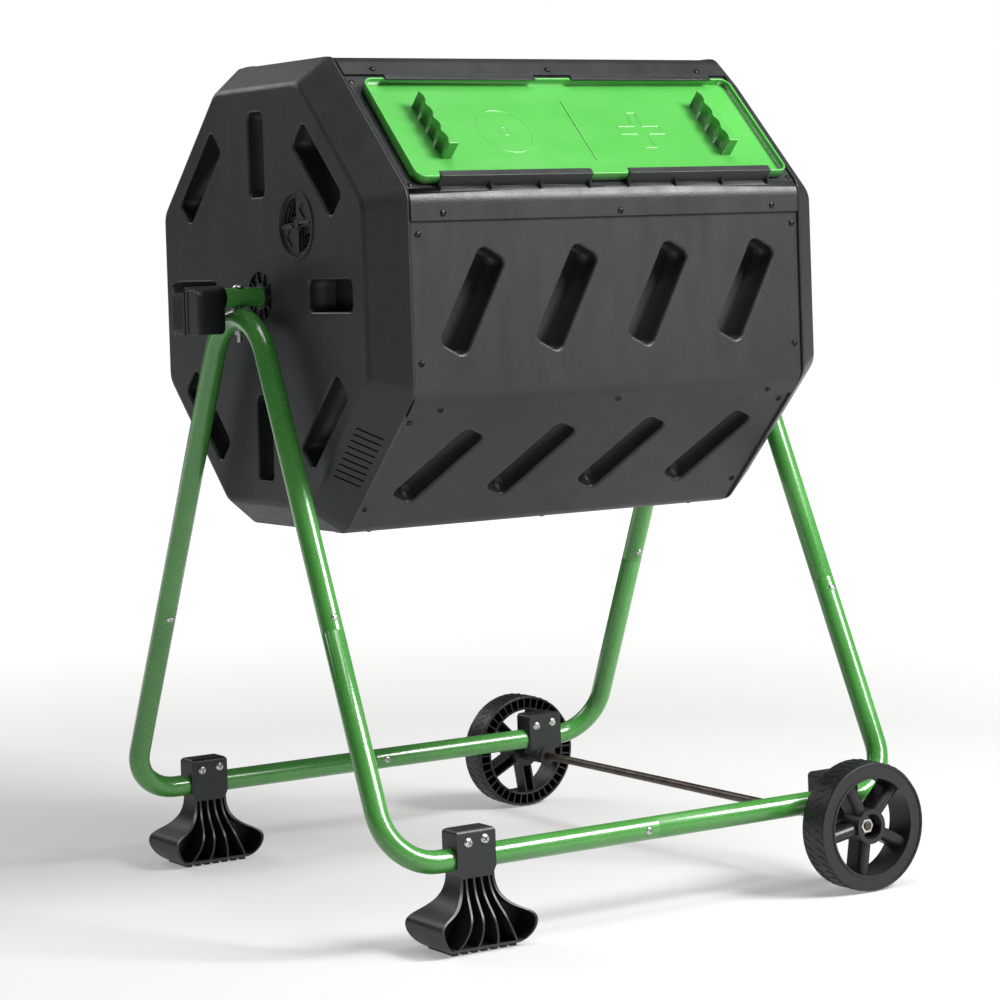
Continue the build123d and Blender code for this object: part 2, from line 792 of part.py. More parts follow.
def other_end(v):
    return Vector(-v.X, -v.Y, v.Z)


def frame_top():
    body = tube([joint_f, apex, joint_b], top_bend_radius, tube_radius, tube_radius - tube_wall)
    body = body + swage(joint_b, down_b)
    body = body - Pos(-bolt_x, 0, saddle_height) * Cylinder(bolt_radius + hole_gap, 60)
    return body - joint_hole(screw_f, down_f) - joint_hole(screw_b, down_b)


def lower_tube_reduced_at_leg():
    # front left: reduced where it goes up into the frame top, plain at the rail joint
    body = tube([joint_f, corner_f, rail_joint], bend_radius, tube_radius, tube_radius - tube_wall)
    body = body + swage(joint_f, down_f * -1)
    return body - joint_hole(screw_f, down_f) - joint_hole(screw_rail, rail_way)


def lower_tube_reduced_at_rail():
    # front right: plain at the leg, reduced where it goes into the rail of the left one
    joint, corner, down = other_end(joint_b), other_end(corner_b), other_end(down_b)
    body = tube([joint, corner, rail_joint], bend_radius, tube_radius, tube_radius - tube_wall)
    body = body + swage(rail_joint, rail_way * -1)
    return body - joint_hole(other_end(screw_b), down) - joint_hole(screw_rail, rail_way)


def make_stand():
    top, lower_a, lower_b = frame_top(), lower_tube_reduced_at_leg(), lower_tube_reduced_at_rail()
    keep("left_frame_top", top)
    keep("right_frame_top", turned(top))
    keep("front_left_lower_tube", lower_a)
    keep("back_right_lower_tube", turned(lower_a))
    keep("front_right_lower_tube", lower_b)
    keep("back_left_lower_tube", turned(lower_b))
    leg_screws = [joint_screw(screw_f, down_f), joint_screw(screw_b, down_b),
                  joint_screw(other_end(screw_b), other_end(down_b)),
                  joint_screw(other_end(screw_f), other_end(down_f))]
    keep("leg_joint_screws", group(leg_screws))
    rail_screws = [joint_screw(screw_rail, rail_way), joint_screw(other_end(screw_rail), rail_way)]
    keep("rail_joint_screws", group(rail_screws))


def make_axle():
    length = axle_right - axle_left
    body = Cylinder(axle_radius, length) - Cylinder(axle_radius - tube_wall, length + 1)
    body = Pos((axle_right + axle_left) / 2, 0, axle_height) * Rot(0, 90, 0) * body
    bolts, nuts = [], []
    head_radius, head_height = axle_bolt_head
    bolt_length = axle_od + tube_od + axle_bolt_spare
    for side in (-1, 1):
        body = body - Pos(side * bolt_x, 0, axle_height) * Cylinder(bolt_radius + hole_gap, 60)
        head = Cylinder(head_radius, head_height, align=standing)
        head = fillet(head.edges().group_by(Axis.Z)[-1], head_height * 0.6)
        stem = Cylinder(bolt_radius, bolt_length, align=hanging)
        bolts.append(Pos(side * bolt_x, 0, axle_height + axle_radius + 0.1) * (head + stem))
        nut = hex_nut(nut_flats, nut_height, bolt_radius + thread_gap)
        nuts.append(Pos(side * bolt_x, 0, saddle_height - tube_radius - nut_height - nut_gap) * nut)
    keep("axle_tube", body)
    keep("axle_bolts", group(bolts))
    keep("axle_bolt_nuts", group(nuts))
    cap = Cylinder(axle_radius + plug_overhang, plug_flange, align=standing)
    cap = fillet(cap.edges().group_by(Axis.Z)[-1], plug_overhang)
    stem = Cylinder(axle_radius - tube_wall - hole_gap, plug_stem, align=hanging)
    keep("axle_end_plug", Pos(axle_right, 0, axle_height) * Rot(0, 90, 0) * (cap + stem))


def make_hand_grip():
    middle_x = part_low_x + hand_grip_depth / 2
    middle_z = axle_height - hand_grip_drop
    block = Box(hand_grip_depth, hand_grip_width, hand_grip_height)
    block = fillet(block.edges().filter_by(Axis.X), hand_grip_corner)
    outer_edges = block.edges().filter_by(lambda e: abs(e.center().X + hand_grip_depth / 2) < 0.1)
    block = Pos(middle_x, 0, middle_z) * fillet(outer_edges, hand_grip_edge)
    fin_length, fin_wall, fin_height, fin_corner = hand_grip_fin
    fin = Box(fin_length, fin_wall, fin_height, align=(Align.MIN, Align.MAX, Align.MAX))
    fin = fillet(fin.edges().filter_by(Axis.Y), fin_corner)
    block = block + Pos(part_low_x, hand_grip_width / 2 - 1, axle_height + hand_grip_fin_rise) * fin
    along = Pos(axle_left, 0, axle_height) * Rot(0, 90, 0)
    socket_length = hand_grip_depth - hand_grip_wall + hand_grip_socket_reach
    block = block + along * Cylinder(axle_radius + hand_grip_socket_wall, socket_length, align=standing)
    bore = Cylinder(axle_radius + hole_gap, 2 * socket_length, align=standing)
    block = block - along * Pos(0, 0, -fit_gap) * bore
    cut_depth, cut_width = fine_rib
    cut = Box(2 * cut_depth, cut_width, hand_grip_height - 2 * hand_grip_margin)
    for i in range(fine_rib_count):
        block = block - Pos(part_low_x, fine_rib_start + i * fine_rib_pitch, middle_z) * cut
    groove_y, groove_depth, groove_width = hand_grip_groove
    groove = Box(2 * groove_depth, groove_width, hand_grip_height + 2)
    block = block - Pos(part_low_x, groove_y, middle_z) * groove
    step_y, step_depth = hand_grip_step
    step = Box(2 * step_depth, hand_grip_width, hand_grip_height + 2,
               align=(Align.CENTER, Align.MAX, Align.CENTER))
    block = block - Pos(part_low_x, step_y, middle_z) * step
    for i in range(notch_count):
        notch = Rot(0, 90, 0) * Cylinder(notch_radius, hand_grip_depth + 4)
        block = block - Pos(middle_x, notch_start - i * notch_pitch, middle_z - hand_grip_height / 2) * notch
    keep("lift_grip", block)


# --- feet ---

def bell(half_top, half_neck, half_waist, half_sole, neck_z, waist_z):
    # one side view of a foot, closed about its middle
    with BuildSketch() as view:
        with BuildLine():
            Spline((half_neck, neck_z), (half_waist, waist_z), (half_sole, tooth_height),
                   tangents=((-0.05, -1), (-1, -0.55)))
            Line((half_sole, tooth_height), (-half_sole, tooth_height))
            Spline((-half_sole, tooth_height), (-half_waist, waist_z), (-half_neck, neck_z),
                   tangents=((-1, 0.55), (0.05, 1)))
            Polyline((-half_neck, neck_z), (-half_top, neck_z + foot_shoulder), (-half_top, block_top),
                     (half_top, block_top), (half_top, neck_z + foot_shoulder), (half_neck, neck_z))
        make_face()
    return view.sketch


def foot():
    # stands on Z = 0 with the rail through it along X; the ribbed side is towards -Y
    half_neck = block_width / 2 - foot_neck_inset
    front = extrude(Plane.XZ * bell(block_width / 2, half_neck, foot_width / 2, foot_sole / 2,
                                    foot_neck, foot_waist), foot_depth, both=True)
    side = extrude(Plane.YZ * bell(block_depth / 2, block_depth / 2, foot_depth / 2, foot_sole_depth / 2,
                                   foot_neck, foot_waist), foot_width, both=True)
    body = front & side
    top_edges = body.edges().filter_by(lambda e: e.center().Z > block_top - 0.1)
    body = fillet(top_edges, block_edge)
    hollow = extrude(Plane.XZ * bell(block_width / 2 - foot_wall, half_neck - foot_wall,
                                     foot_width / 2 - foot_wall, foot_sole / 2 - foot_wall,
                                     foot_neck - 2, foot_waist), foot_depth)
    inside = Box(400, 400, foot_neck - tooth_height - foot_pocket_floor)
    hollow = hollow & Pos(0, 0, (foot_neck + tooth_height) / 2) * inside
    front_half = Box(400, 2 * foot_depth, 400, align=(Align.CENTER, Align.MAX, Align.CENTER))
    pockets = hollow & Pos(0, -foot_wall, 0) * front_half
    ribs = None
    half = foot_rib_wall / 2
    for i in range(foot_rib_count):
        spread = (i - (foot_rib_count - 1) / 2) / ((foot_rib_count - 1) / 2)
        top_x = spread * (block_width / 2 - foot_rib_top_inset)
        low_x = spread * (foot_width / 2 - foot_rib_low_inset)
        with BuildSketch(Plane.XZ) as rib:
            with BuildLine():
                Spline((top_x - half, foot_neck), (low_x - half, 0), tangents=((0, -1), (spread * 0.8, -1)))
                Line((low_x - half, 0), (low_x + half, 0))
                Spline((low_x + half, 0), (top_x + half, foot_neck), tangents=((-spread * 0.8, 1), (0, 1)))
                Line((top_x + half, foot_neck), (top_x - half, foot_neck))
            make_face()
        piece = extrude(rib.sketch, foot_depth, both=True)
        ribs = piece if ribs is None else ribs + piece
    body = body - (pockets - ribs)
    tooth_pitch = foot_sole / tooth_count
    for i in range(tooth_count):
        x = (i - (tooth_count - 1) / 2) * tooth_pitch
        tooth = Box(tooth_pitch * tooth_share, foot_sole_depth - 2 * tooth_inset, tooth_height + 1,
                    align=standing)
        body = body + Pos(x, 0, 0) * tooth
    body = body - Pos(0, 0, rail_height_z) * Rot(0, 90, 0) * Cylinder(tube_radius + running_gap, 300)
    for side_x in (-1, 1):
        hole = Rot(90, 0, 0) * Cylinder(bolt_radius + hole_gap, 200)
        body = body - Pos(side_x * block_bolt_pitch / 2, 0, block_bolt_height) * hole
    return body


def block_bolts(x):
    bolts, nuts = [], []
    for side_y in (-1, 1):
        for side_x in (-1, 1):
            front = side_y * rail_y - block_depth / 2 - 0.1
            place = Pos(x + side_x * block_bolt_pitch / 2, front, block_bolt_height)
            bolt = pan_screw(block_depth + block_bolt_spare, *block_bolt_head, bolt_radius)
            bolts.append(place * Rot(90, 0, 0) * bolt)
            nut = hex_nut(nut_flats, nut_height, bolt_radius + thread_gap)
            nuts.append(place * Pos(0, block_depth + 0.3, 0) * Rot(-90, 0, 0) * nut)
    return group(bolts), group(nuts)


def make_feet():
    shape = foot()
    keep("front_foot", Pos(foot_x, -rail_y, 0) * shape)
    keep("back_foot", Pos(foot_x, rail_y, 0) * shape)
    bolts, nuts = block_bolts(foot_x)
    keep("foot_bolts", bolts)
    keep("foot_bolt_nuts", nuts)


# --- wheels ---

def bracket(side_y):
    outer = wheel_inner_y - boss_gap
    block = Box(block_width, block_depth, block_top - bracket_low, align=standing)
    block = Pos(0, rail_y, bracket_low) * fillet(block.edges().filter_by(Axis.Y), block_edge)
    web = Box(2 * (boss_radius + bracket_web_wall), block_depth, bracket_web, align=standing)
    boss_length = outer - rail_y + block_depth / 2 + boss_overlap
    boss = Rot(90, 0, 0) * Cylinder(boss_radius, boss_length, align=standing)
    body = block + Pos(0, rail_y, wheel_radius) * web + Pos(0, outer, wheel_radius) * boss
    body = body - Pos(0, rail_y, rail_height_z) * Rot(0, 90, 0) * Cylinder(tube_radius + running_gap, 300)
    body = body - Pos(0, rail_y, wheel_radius) * Rot(90, 0, 0) * Cylinder(rod_radius + running_gap, 300)
    for side_x in (-1, 1):
        hole = Rot(90, 0, 0) * Cylinder(bolt_radius + hole_gap, 200)
        body = body - Pos(side_x * block_bolt_pitch / 2, rail_y, block_bolt_height) * hole
    if side_y < 0:
        body = turned(body)
    return Pos(wheel_x, 0, 0) * body


def ring(outer, inner, low, high):
    # a ring about the Y axis
    body = Cylinder(outer, high - low, align=standing) - Cylinder(inner, 3 * (high - low) + 10)
    return Pos(0, low, 0) * Rot(-90, 0, 0) * body


def wheel():
    # axis along Y, inner face at Y = 0 and open towards it, outer face closed
    tread = ring(wheel_radius, wheel_radius - tread_wall, 0, wheel_width)
    rounds = tread.edges().filter_by(GeomType.CIRCLE)
    tread = fillet([e for e in rounds if abs(e.radius - wheel_radius) < 0.01], tread_edge)
    barrel = ring(barrel_radius, barrel_radius - wheel_wall, 0, wheel_width)
    face_high = wheel_width - face_inset
    face = ring(wheel_radius - 1, barrel_radius - wheel_wall, face_high - face_wall, face_high)
    body = tread + barrel + face
    gap = wheel_radius - tread_wall - barrel_radius
    for i in range(rim_rib_count):
        rib = Box(gap + 1, wheel_width - 3, rib_wall, align=(Align.MIN, Align.MIN, Align.CENTER))
        body = body + Rot(0, 360 / rim_rib_count * i, 0) * Pos(barrel_radius - 0.5, 1, 0) * rib
    body = body + ring(wheel_hub_radius, rod_radius + rod_gap, 0, wheel_width - 3)
    reach = barrel_radius - wheel_hub_radius
    for i in range(spoke_count):
        round_front = Rot(0, 90, 0) * Cylinder(spoke_width / 2, reach, align=standing)
        back = Box(reach, spoke_depth, spoke_width, align=(Align.MIN, Align.MAX, Align.CENTER))
        core = Box(reach + 4, spoke_depth - 2, spoke_width - 2 * spoke_wall,
                   align=(Align.MIN, Align.MAX, Align.CENTER))
        spoke = round_front + back - Pos(2, -2, 0) * core
        turn = Rot(0, spoke_start + 360 / spoke_count * i, 0)
        body = body + turn * Pos(wheel_hub_radius - spoke_overlap, wheel_width - spoke_inset, 0) * spoke
    body = body - ring(wheel_nut_recess, rod_radius, nut_seat, wheel_width + 1)
    return body - ring(rod_radius + rod_gap, 1, -1, wheel_width + 1)


def make_wheels():
    body = Pos(wheel_x, wheel_inner_y, wheel_radius) * wheel()
    keep("back_wheel", body)
    keep("front_wheel", Pos(wheel_x, -wheel_inner_y, wheel_radius) * turned(wheel()))
    keep("back_wheel_bracket", bracket(1))
    keep("front_wheel_bracket", bracket(-1))
    bolts, nuts = block_bolts(wheel_x)
    keep("bracket_bolts", bolts)
    keep("bracket_bolt_nuts", nuts)
    seat = wheel_inner_y + nut_seat
    rod_half = seat + rod_overhang
    rod = Rot(90, 0, 0) * Cylinder(rod_radius, 2 * rod_half)
    rod = chamfer(rod.edges(), 1)
    keep("wheel_axle_rod", Pos(wheel_x, 0, wheel_radius) * rod)
    washer = ring(wheel_nut_recess - 3, rod_radius + hole_gap, fit_gap, fit_gap + washer_wall)
    spacer_radius, spacer_length, spacer_gap = spacer
    spacer_ring = ring(spacer_radius, rod_radius + hole_gap, -spacer_gap - spacer_length, -spacer_gap)
    nut_level = fit_gap + washer_wall + hole_gap
    nut = Pos(0, nut_level, 0) * Rot(-90, 0, 0) * hex_nut(*wheel_nut, rod_radius + 0.05)
    outer = [Pos(0, seat, 0) * washer, Pos(0, wheel_inner_y, 0) * spacer_ring]
    place = Pos(wheel_x, 0, wheel_radius)
    keep("wheel_washers", group([place * w for w in outer] + [place * turned(w) for w in outer]))
    nuts = [place * Pos(0, seat, 0) * nut, place * turned(Pos(0, seat, 0) * nut)]
    keep("wheel_nuts", group(nuts))


make_panels()
make_panel_screws()
make_ends()
make_divider()
sliding_door()
make_stand()
make_axle()
make_hand_grip()
make_feet()
make_wheels()

os.makedirs("parts", exist_ok=True)
for name, shape in nodes.items():
    export_step(Pos(shift_x, 0, 0) * shape, f"parts/{name}.step")
print(len(nodes), "nodes, shifted by", shift_x)
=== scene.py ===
import bmesh
import bpy
import json
import math
from mathutils import Matrix, Vector


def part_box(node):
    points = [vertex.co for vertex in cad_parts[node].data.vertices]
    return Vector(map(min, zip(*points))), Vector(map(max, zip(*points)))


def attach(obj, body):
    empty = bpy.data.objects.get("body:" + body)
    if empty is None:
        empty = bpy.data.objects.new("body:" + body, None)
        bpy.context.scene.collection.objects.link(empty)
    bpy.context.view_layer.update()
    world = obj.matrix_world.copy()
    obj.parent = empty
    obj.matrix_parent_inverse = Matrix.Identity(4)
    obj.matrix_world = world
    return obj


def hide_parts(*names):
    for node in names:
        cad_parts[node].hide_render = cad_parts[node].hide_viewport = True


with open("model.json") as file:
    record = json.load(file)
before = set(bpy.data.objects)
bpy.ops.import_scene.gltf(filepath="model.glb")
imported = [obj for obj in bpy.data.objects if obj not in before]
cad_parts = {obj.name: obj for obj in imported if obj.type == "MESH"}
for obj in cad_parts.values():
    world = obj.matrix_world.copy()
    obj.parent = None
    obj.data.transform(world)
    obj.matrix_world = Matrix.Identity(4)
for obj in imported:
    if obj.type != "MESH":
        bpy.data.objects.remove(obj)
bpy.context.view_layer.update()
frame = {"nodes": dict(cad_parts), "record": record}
nodes = frame["nodes"]
scene = bpy.context.scene
bodyOf = {node: body for body, names in frame["record"]["behaviour"]["bodies"].items() for node in names}
slotOf = {part["node"]: part["material_slot"] for part in frame["record"]["subparts"]}
print("frame loaded:", len(nodes), "nodes")


# ---- materials: every pattern is on Object coordinates, in metres

def newMaterial(name):
    material = bpy.data.materials.new(name)
    material.use_nodes = True
    tree = material.node_tree
    shader = tree.nodes["Principled BSDF"]
    place = tree.nodes.new("ShaderNodeTexCoord")
    return material, tree, shader, place.outputs["Object"]


def noiseOf(tree, place, scale, detail=3.0, roughness=0.55, stretch=None):
    noise = tree.nodes.new("ShaderNodeTexNoise")
    noise.inputs["Scale"].default_value = scale
    noise.inputs["Detail"].default_value = detail
    noise.inputs["Roughness"].default_value = roughness
    if stretch:
        mapping = tree.nodes.new("ShaderNodeMapping")
        mapping.inputs["Scale"].default_value = stretch
        tree.links.new(place, mapping.inputs["Vector"])
        place = mapping.outputs["Vector"]
    tree.links.new(place, noise.inputs["Vector"])
    return noise.outputs["Fac"]


def rangeOf(tree, value, low, high, fromLow=0.3, fromHigh=0.7):
    node = tree.nodes.new("ShaderNodeMapRange")
    node.inputs["From Min"].default_value = fromLow
    node.inputs["From Max"].default_value = fromHigh
    node.inputs["To Min"].default_value = low
    node.inputs["To Max"].default_value = high
    tree.links.new(value, node.inputs["Value"])
    return node.outputs["Result"]


def blendOf(tree, factor, colorA, colorB):
    mix = tree.nodes.new("ShaderNodeMix")
    mix.data_type = "RGBA"
    for socket, color in ((mix.inputs[6], colorA), (mix.inputs[7], colorB)):
        if isinstance(color, tuple):
            socket.default_value = (*color, 1)
        else:
            tree.links.new(color, socket)
    tree.links.new(factor, mix.inputs[0])
    return mix.outputs[2]


# how far a pale edge reaches, in metres, and how alike the two normals are where it is full and where it
# ends; the pale edge is partly wear and partly a painted highlight
wearAndHighlightReach = 0.0011
wearAndHighlightAlike = (0.82, 0.995)


def edgeWearAndHighlight(tree, strength):
    # near an edge the rounded normal leaves the face's own: there every edge, convex and concave, is
    # lightened, partly as wear and dust and partly as a painted highlight
    rounded = tree.nodes.new("ShaderNodeBevel")
    rounded.samples = 4
    rounded.inputs["Radius"].default_value = wearAndHighlightReach
    geometry = tree.nodes.new("ShaderNodeNewGeometry")
    match = tree.nodes.new("ShaderNodeVectorMath")
    match.operation = "DOT_PRODUCT"
    tree.links.new(rounded.outputs["Normal"], match.inputs[0])
    tree.links.new(geometry.outputs["Normal"], match.inputs[1])
    return rangeOf(tree, match.outputs["Value"], strength, 0, *wearAndHighlightAlike)


def addBump(tree, shader, heights):
    # each height is (value, strength, distance)
    normal = None
    for value, strength, distance in heights:
        bump = tree.nodes.new("ShaderNodeBump")
        bump.inputs["Strength"].default_value = strength
        bump.inputs["Distance"].default_value = distance
        tree.links.new(value, bump.inputs["Height"])
        if normal:
            tree.links.new(normal, bump.inputs["Normal"])
        normal = bump.outputs["Normal"]
    tree.links.new(normal, shader.inputs["Normal"])


def cellsOf(tree, place, scale):
    cells = tree.nodes.new("ShaderNodeTexVoronoi")
    cells.feature = "SMOOTH_F1"
    cells.inputs["Scale"].default_value = scale
    tree.links.new(place, cells.inputs["Vector"])
    return cells.outputs["Distance"]


mouldingLook = {"dark": (0.0085, 0.0100, 0.0102), "light": (0.0150, 0.0172, 0.0175),
                "scuff": (0.055, 0.06, 0.06), "smooth": 0.38, "rough": 0.50, "specular": 0.42, "wear": 0.8,
                "cloudScale": 5, "scuffScale": 38, "scuffStretch": (1, 1, 0.25),
                "rippleScale": 14, "ripple": 0.06, "grainScale": 520, "grain": 0.30}


def makeMoulding(name, look):
    # injection moulded black plastic: leathery grain, faint cloudiness, pale edges that are partly scuffs and
    # partly a painted highlight
    material, tree, shader, place = newMaterial(name)
    cloud = noiseOf(tree, place, look["cloudScale"], 4)
    scuffs = noiseOf(tree, place, look["scuffScale"], 8, 0.7, look["scuffStretch"])
    wear = edgeWearAndHighlight(tree, look["wear"])
    wornAndHighlighted = tree.nodes.new("ShaderNodeMath")
    wornAndHighlighted.operation = "MULTIPLY"
    tree.links.new(wear, wornAndHighlighted.inputs[0])
    tree.links.new(rangeOf(tree, scuffs, 0.05, 0.55, 0.4, 0.7), wornAndHighlighted.inputs[1])
    tone = blendOf(tree, rangeOf(tree, cloud, 0, 1), look["dark"], look["light"])
    # painted highlight with scuffs: edges blended towards the pale scuff colour, patchy by the scuff noise
    tree.links.new(blendOf(tree, wornAndHighlighted.outputs[0], tone, look["scuff"]), shader.inputs["Base Color"])
    tree.links.new(rangeOf(tree, scuffs, look["smooth"], look["rough"]), shader.inputs["Roughness"])
    shader.inputs["Specular IOR Level"].default_value = look["specular"]
    grain = cellsOf(tree, place, look["grainScale"])
    ripple = noiseOf(tree, place, look["rippleScale"], 2)
    addBump(tree, shader, [(ripple, look["ripple"], 0.004), (grain, look["grain"], 0.0004)])
    return material


doorLook = {"dark": (0.050, 0.28, 0.040), "light": (0.066, 0.33, 0.053), "pale": (0.24, 0.66, 0.21),
            "smooth": 0.30, "rough": 0.42, "wear": 0.4, "cloudScale": 7, "streakScale": 30,
            "streakStretch": (0.2, 1, 1), "grainScale": 900, "grain": 0.16, "streak": 0.05,
            "glowThrough": 0.04, "glowReach": (0.002, 0.004, 0.002)}


def makeDoorPlastic():
    # bright moulded plastic: fine grain, flow marks, pale on every edge, partly rub wear and partly a painted
    # highlight
    material, tree, shader, place = newMaterial("doorPlastic")
    cloud = noiseOf(tree, place, doorLook["cloudScale"], 3)
    streaks = noiseOf(tree, place, doorLook["streakScale"], 6, 0.65, doorLook["streakStretch"])
    tone = blendOf(tree, rangeOf(tree, cloud, 0, 1), doorLook["dark"], doorLook["light"])
    # painted highlight with rub wear: every edge blended towards the pale green
    color = blendOf(tree, edgeWearAndHighlight(tree, doorLook["wear"]), tone, doorLook["pale"])
    tree.links.new(color, shader.inputs["Base Color"])
    tree.links.new(rangeOf(tree, streaks, doorLook["smooth"], doorLook["rough"]), shader.inputs["Roughness"])
    shader.inputs["Subsurface Weight"].default_value = doorLook["glowThrough"]
    shader.inputs["Subsurface Radius"].default_value = doorLook["glowReach"]
    grain = cellsOf(tree, place, doorLook["grainScale"])
    addBump(tree, shader, [(streaks, doorLook["streak"], 0.002), (grain, doorLook["grain"], 0.0003)])
    return material


paintLook = {"dark": (0.040, 0.19, 0.031), "light": (0.058, 0.245, 0.044), "metal": (0.35, 0.42, 0.35),
             "speck": (0.16, 0.55, 0.13), "smooth": 0.20, "rough": 0.34, "cloudScale": 9, "speckScale": 700,
             "chipScale": 160, "peelScale": 260, "peel": 0.22, "coat": 0.5, "coatRough": 0.12}


def makePaint():
    # powder coat on steel: orange peel, tiny specks, thin chips
    material, tree, shader, place = newMaterial("tubePaint")
    cloud = noiseOf(tree, place, paintLook["cloudScale"], 3)
    specks = noiseOf(tree, place, paintLook["speckScale"], 2)
    chips = noiseOf(tree, place, paintLook["chipScale"], 6, 0.8)
    tone = blendOf(tree, rangeOf(tree, cloud, 0, 1), paintLook["dark"], paintLook["light"])
    speckled = blendOf(tree, rangeOf(tree, specks, 0, 0.5, 0.55, 0.75), tone, paintLook["speck"])
    chipped = blendOf(tree, rangeOf(tree, chips, 0, 0.5, 0.76, 0.80), speckled, paintLook["metal"])
    tree.links.new(chipped, shader.inputs["Base Color"])
    tree.links.new(rangeOf(tree, cloud, paintLook["smooth"], paintLook["rough"]), shader.inputs["Roughness"])
    shader.inputs["Coat Weight"].default_value = paintLook["coat"]
    shader.inputs["Coat Roughness"].default_value = paintLook["coatRough"]
    peel = noiseOf(tree, place, paintLook["peelScale"], 2)
    addBump(tree, shader, [(peel, paintLook["peel"], 0.0006)])
    return material


zincLook = {"base": (0.72, 0.72, 0.70), "dark": (0.42, 0.42, 0.41), "smooth": 0.22, "rough": 0.42,
            "stretch": (1, 1, 1), "patchScale": 90, "lineScale": 900, "line": 0.12}
blackSteelLook = {**zincLook, "base": (0.05, 0.05, 0.052), "dark": (0.02, 0.02, 0.02),
                  "smooth": 0.30, "rough": 0.50}
rodLook = {**zincLook, "base": (0.15, 0.125, 0.11), "dark": (0.06, 0.045, 0.035),
           "smooth": 0.34, "rough": 0.54, "stretch": (1, 0.05, 1)}


def makeMetal(name, look):
    # plated or rolled steel: brushed one way, dull patches
    material, tree, shader, place = newMaterial(name)
    patches = noiseOf(tree, place, look["patchScale"], 5, 0.7)
    lines = noiseOf(tree, place, look["lineScale"], 3, 0.6, look["stretch"])
    tone = blendOf(tree, rangeOf(tree, patches, 0, 1), look["base"], look["dark"])
    tree.links.new(tone, shader.inputs["Base Color"])
    tree.links.new(rangeOf(tree, lines, look["smooth"], look["rough"]), shader.inputs["Roughness"])
    shader.inputs["Metallic"].default_value = 1
    addBump(tree, shader, [(lines, look["line"], 0.0003)])
    return material


hubLook = {**mouldingLook, "grain": 0.1, "smooth": 0.32}
wheelLook = {**mouldingLook, "dark": (0.009, 0.009, 0.009), "light": (0.015, 0.015, 0.015), "grain": 0.12,
             "smooth": 0.34}
finishes = {
    "black_plastic": makeMoulding("blackMoulding", mouldingLook),
    "hub_plastic": makeMoulding("hubMoulding", hubLook),
    "wheel_plastic": makeMoulding("wheelMoulding", wheelLook),
    "green_plastic": makeDoorPlastic(),
    "green_paint": makePaint(),
    "zinc": makeMetal("zincPlate", zincLook),
    "black_screw": makeMetal("blackScrewSteel", blackSteelLook),
    "dark_steel": makeMetal("rodSteel", rodLook),
}
print("materials made:", len(finishes))


# ---- pieces shaped from the frame's nodes, their edges rounded

def camelName(node):
    first, *rest = node.split("_")
    return first + "".join(word.capitalize() for word in rest)


mergeReach = 2e-6  # points this close become one, in metres
flattenAngle = math.radians(0.8)  # faces this alike become one before a bevel


def mergedMesh(node, flatten=False):
    shape = bmesh.new()
    shape.from_mesh(nodes[node].data)
    bmesh.ops.remove_doubles(shape, verts=shape.verts, dist=mergeReach)
    if flatten:
        bmesh.ops.dissolve_limit(shape, angle_limit=flattenAngle, verts=shape.verts, edges=shape.edges)
    return shape


def settle(piece, node):
    # the finished piece stands for its node and moves with that node's body
    piece.data.materials.clear()
    piece.data.materials.append(finishes[slotOf[node]])
    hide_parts(node)
    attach(piece, bodyOf[node])


def applyModifiers(piece):
    made = bpy.data.meshes.new_from_object(piece.evaluated_get(bpy.context.evaluated_depsgraph_get()))
    piece.modifiers.clear()
    piece.data = made


def newPiece(name, shape):
    mesh = bpy.data.meshes.new(name)
    shape.to_mesh(mesh)
    shape.free()
    piece = bpy.data.objects.new(name, mesh)
    scene.collection.objects.link(piece)
    return piece


flatMatch = 0.99999  # normals this alike belong to one flat region


def flatAreas(shape):
    # the area of the whole flat region that each face belongs to
    area = {}
    for start in shape.faces:
        if start in area:
            continue
        region, waiting, total = {start}, [start], 0
        while waiting:
            face = waiting.pop()
            total += face.calc_area()
            for side in face.edges:
                for other in side.link_faces:
                    if other not in region and other.normal.dot(start.normal) > flatMatch:
                        region.add(other)
                        waiting.append(other)
        area.update((face, total) for face in region)
    return area


def smoothed(piece, angle):
    # flat areas stay flat because the largest flat region at a corner rules its normal
    mesh = piece.data
    mesh.shade_smooth()
    mesh.set_sharp_from_angle(angle=math.radians(angle))
    shape = bmesh.new()
    shape.from_mesh(mesh)
    shape.normal_update()
    area = flatAreas(shape)
    normals = [None] * len(mesh.loops)
    loopAt = {(loop.face.index, loop.vert.index): loop.index for face in shape.faces for loop in face.loops}
    for vert in shape.verts:
        left = list(vert.link_faces)
        while left:
            fan, waiting = [], [left.pop()]
            while waiting:
                face = waiting.pop()
                fan.append(face)
                for side in face.edges:
                    if side.smooth and vert in side.verts:
                        found = [other for other in side.link_faces if other in left]
                        left = [other for other in left if other not in found]
                        waiting.extend(found)
            normal = sum((face.normal * area[face] for face in fan), Vector()).normalized()
            for face in fan:
                normals[loopAt[face.index, vert.index]] = normal
    shape.free()
    mesh.normals_split_custom_set(normals)


# raised bars across the wheels' treads, in slanting rows: the tread lies "depth" lower, and the bars stop
# "clear" short of the old radius
treadLook = {"bars": 44, "rows": 3, "depth": 0.0008, "margin": 0.0024, "wide": 0.0034, "thick": 0.0022,
             "slant": 0.50, "clear": 0.0003}
wheels = ("front_wheel", "back_wheel")


def lowerTread(node, shape):
    low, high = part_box(node)
    centre, radius = (low + high) / 2, (high.z - low.z) / 2
    for vert in shape.verts:
        out = Vector((vert.co.x - centre.x, 0, vert.co.z - centre.z))
        if out.length > radius - treadLook["depth"]:
            vert.co -= out.normalized() * treadLook["depth"]


# angles in degrees: past "bevel" an edge is rounded, past "smooth" it is shaded sharp
edgeLook = {"bevel": 32, "smooth": 38, "segments": 2}


